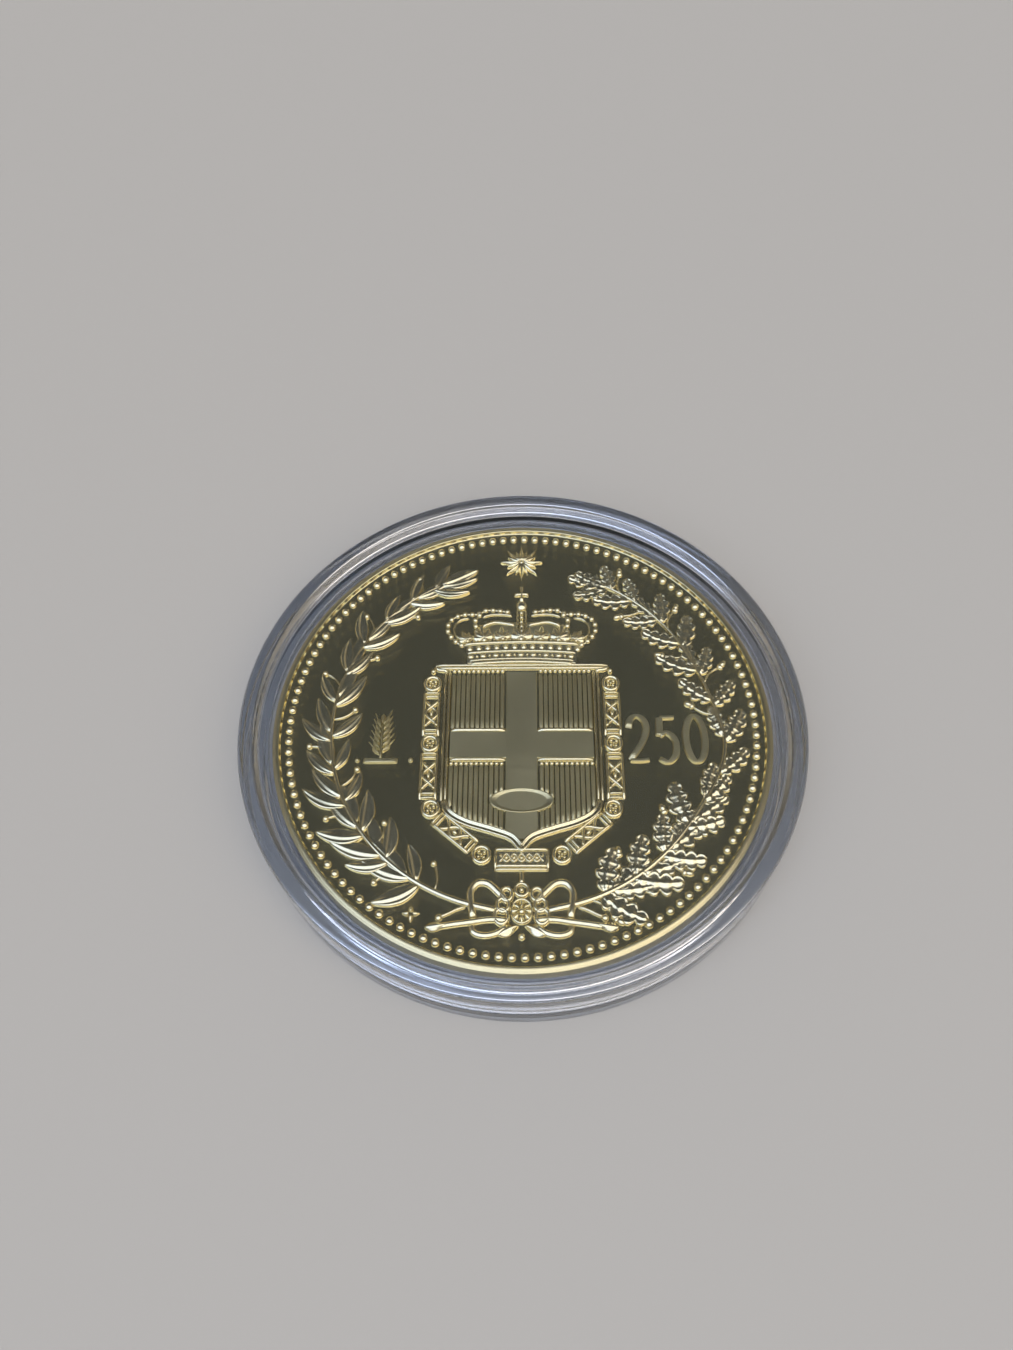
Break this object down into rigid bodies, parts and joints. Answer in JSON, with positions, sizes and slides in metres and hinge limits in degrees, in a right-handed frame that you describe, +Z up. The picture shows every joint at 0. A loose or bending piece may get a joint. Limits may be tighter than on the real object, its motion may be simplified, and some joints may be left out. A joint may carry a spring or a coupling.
{
  "type": "coin capsule",
  "caption": "Round two-piece capsule of clear plastic with a stacking lip, closed over a large gold-coloured coin that lifts out once the lid is off.",
  "frame": {"origin": "centre of the foot ring's underside, on the capsule's axis, where it stands on a table", "axes": "+Z up through the lid's window, along the capsule's axis; +Y towards the top of the coin's design"},
  "size_m": [0.0392, 0.0392, 0.0053],
  "materials": {
    "clear_base": "clear moulded polystyrene, polished",
    "clear_lid": "clear moulded polystyrene, polished",
    "gold_coin": "gold plated, mirror field with frosted relief"
  },
  "bodies": {
    "base": {"base": "clear_base"},
    "lid": {"lid": "clear_lid"},
    "coin": {"coin": "gold_coin"}
  },
  "joints": [
    {"name": "lid_lift", "type": "slide", "parent": "base", "child": "lid", "axis": [0, 0, 1], "range_m": [0, 0.03]},
    {"name": "coin_lift", "type": "slide", "parent": "base", "child": "coin", "axis": [0, 0, 1], "range_m": [0, 0.015]}
  ],
  "couplings": [
    {"joint": "coin_lift", "follows": "lid_lift", "ratio": 0.5}
  ]
}
